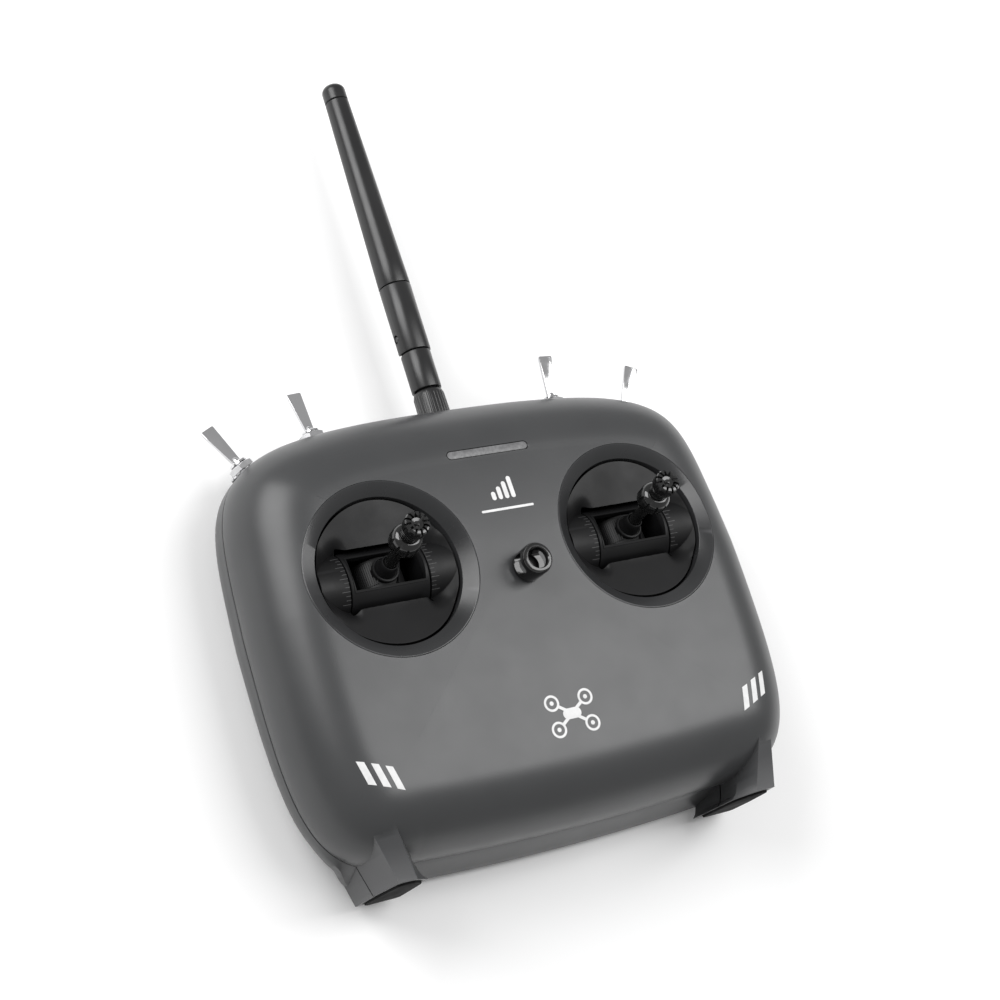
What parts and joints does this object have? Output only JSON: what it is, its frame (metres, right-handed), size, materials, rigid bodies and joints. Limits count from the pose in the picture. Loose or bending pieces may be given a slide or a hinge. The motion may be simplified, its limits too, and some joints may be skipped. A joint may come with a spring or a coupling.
{
  "type": "radio transmitter controller",
  "caption": "Hand-held two-stick radio transmitter: pillow-shaped grey case on feet, toggle switches on its top edge and a folding whip antenna.",
  "frame": {"origin": "on the flat back of the case, on the centre plane, level with the stick pivots", "axes": "+X to the user's right, +Y towards the antenna, +Z out of the front face"},
  "size_m": [0.1752, 0.2748, 0.0711],
  "materials": {
    "case_grey": "soft-touch moulded grey",
    "bezel_grey": "satin dark grey",
    "matt_black": "fine matt black",
    "gloss_black": "gloss black",
    "rubber_black": "soft rubber",
    "chrome": "bright plated",
    "screw_steel": "zinc plated",
    "brass": "gold plated",
    "light_bar": "translucent diffuser",
    "board_green": "solder mask",
    "cell_blue": "shrink wrap"
  },
  "bodies": {
    "root": {"front_shell": "case_grey", "rear_shell": "case_grey", "left_foot_pad": "rubber_black", "right_foot_pad": "rubber_black", "shell_screw_1": "screw_steel", "shell_screw_2": "screw_steel", "shell_screw_3": "screw_steel", "shell_screw_4": "screw_steel", "shell_screw_5": "screw_steel", "shell_screw_6": "screw_steel", "led_light_bar": "light_bar", "lanyard_loop": "gloss_black", "main_board": "board_green", "rf_module": "screw_steel", "battery_contact_left": "screw_steel", "battery_contact_right": "screw_steel", "usb_port": "screw_steel", "buzzer": "matt_black", "battery_cell_upper": "cell_blue", "battery_cell_lower": "cell_blue", "left_gimbal_bezel": "bezel_grey", "left_gimbal_housing": "matt_black", "right_gimbal_bezel": "bezel_grey", "right_gimbal_housing": "matt_black", "left_outer_switch_case": "chrome", "left_outer_switch_washer": "chrome", "left_outer_switch_nut": "chrome", "left_inner_switch_case": "chrome", "left_inner_switch_washer": "chrome", "left_inner_switch_nut": "chrome", "right_inner_switch_case": "chrome", "right_inner_switch_washer": "chrome", "right_inner_switch_nut": "chrome", "right_outer_switch_case": "chrome", "right_outer_switch_washer": "chrome", "right_outer_switch_nut": "chrome", "antenna_connector": "brass"},
    "left_drum": {"left_gimbal_drum": "matt_black"},
    "right_drum": {"right_gimbal_drum": "matt_black"},
    "left_stick": {"left_gimbal_rocker": "matt_black", "left_stick_shaft": "gloss_black", "left_stick_collar": "gloss_black", "left_stick_tip": "gloss_black"},
    "right_stick": {"right_gimbal_rocker": "matt_black", "right_stick_shaft": "gloss_black", "right_stick_collar": "gloss_black", "right_stick_tip": "gloss_black"},
    "antenna_swivel": {"antenna_lower_barrel": "matt_black", "antenna_hinge_pin": "chrome"},
    "antenna_fold": {"antenna_upper_barrel": "matt_black", "antenna_mast": "matt_black", "antenna_tip_cap": "matt_black"},
    "coupling_nut": {"antenna_coupling_nut": "matt_black"},
    "power_button": {"power_button": "matt_black"},
    "battery_door": {"battery_door": "case_grey"},
    "left_outer_lever": {"left_outer_switch_lever": "chrome"},
    "left_inner_lever": {"left_inner_switch_lever": "chrome"},
    "right_inner_lever": {"right_inner_switch_lever": "chrome"},
    "right_outer_lever": {"right_outer_switch_lever": "chrome"}
  },
  "joints": [
    {"name": "left_stick_fore_aft", "type": "hinge", "parent": "root", "child": "left_drum", "pos_m": [-0.04425, 0, 0.031], "axis": [1, 0, 0], "range_deg": [-19.5, 34.5]},
    {"name": "left_stick_side", "type": "hinge", "parent": "left_drum", "child": "left_stick", "pos_m": [-0.04425, 0, 0.031], "axis": [0, 0.9914, -0.1305], "range_deg": [-27, 27], "stiffness_Nm_per_rad": 0.05},
    {"name": "right_stick_fore_aft", "type": "hinge", "parent": "root", "child": "right_drum", "pos_m": [0.04425, 0, 0.031], "axis": [1, 0, 0], "range_deg": [-19.5, 34.5]},
    {"name": "right_stick_side", "type": "hinge", "parent": "right_drum", "child": "right_stick", "pos_m": [0.04425, 0, 0.031], "axis": [0, 0.9914, -0.1305], "range_deg": [-27, 27], "stiffness_Nm_per_rad": 0.05},
    {"name": "left_outer_switch", "type": "hinge", "parent": "root", "child": "left_outer_lever", "pos_m": [-0.07171, 0.04906, 0.018], "axis": [0.9063, 0.4226, 0], "range_deg": [0, 19]},
    {"name": "left_inner_switch", "type": "hinge", "parent": "root", "child": "left_inner_lever", "pos_m": [-0.04502, 0.05584, 0.018], "axis": [0.9976, 0.0698, 0], "range_deg": [0, 19]},
    {"name": "right_inner_switch", "type": "hinge", "parent": "root", "child": "right_inner_lever", "pos_m": [0.04502, 0.05584, 0.018], "axis": [-0.9976, 0.0698, 0], "range_deg": [0, 19]},
    {"name": "right_outer_switch", "type": "hinge", "parent": "root", "child": "right_outer_lever", "pos_m": [0.07171, 0.04906, 0.018], "axis": [-0.9063, 0.4226, 0], "range_deg": [0, 19]},
    {"name": "antenna_nut_turn", "type": "hinge", "parent": "root", "child": "coupling_nut", "pos_m": [0, 0.0617, 0.018], "axis": [0, 1, 0], "continuous": true},
    {"name": "antenna_swivel", "type": "hinge", "parent": "root", "child": "antenna_swivel", "pos_m": [0, 0.0723, 0.018], "axis": [0, 1, 0], "range_deg": [-180, 180]},
    {"name": "antenna_fold", "type": "hinge", "parent": "antenna_swivel", "child": "antenna_fold", "pos_m": [0, 0.0851, 0.018], "axis": [-1, 0, 0], "range_deg": [0, 90]},
    {"name": "power_button_press", "type": "slide", "parent": "root", "child": "power_button", "axis": [0, 0, 1], "range_m": [0, 0.0008], "stiffness_N_per_m": 900},
    {"name": "battery_door_slide", "type": "slide", "parent": "root", "child": "battery_door", "axis": [0, -1, 0], "range_m": [0, 0.06]}
  ]
}
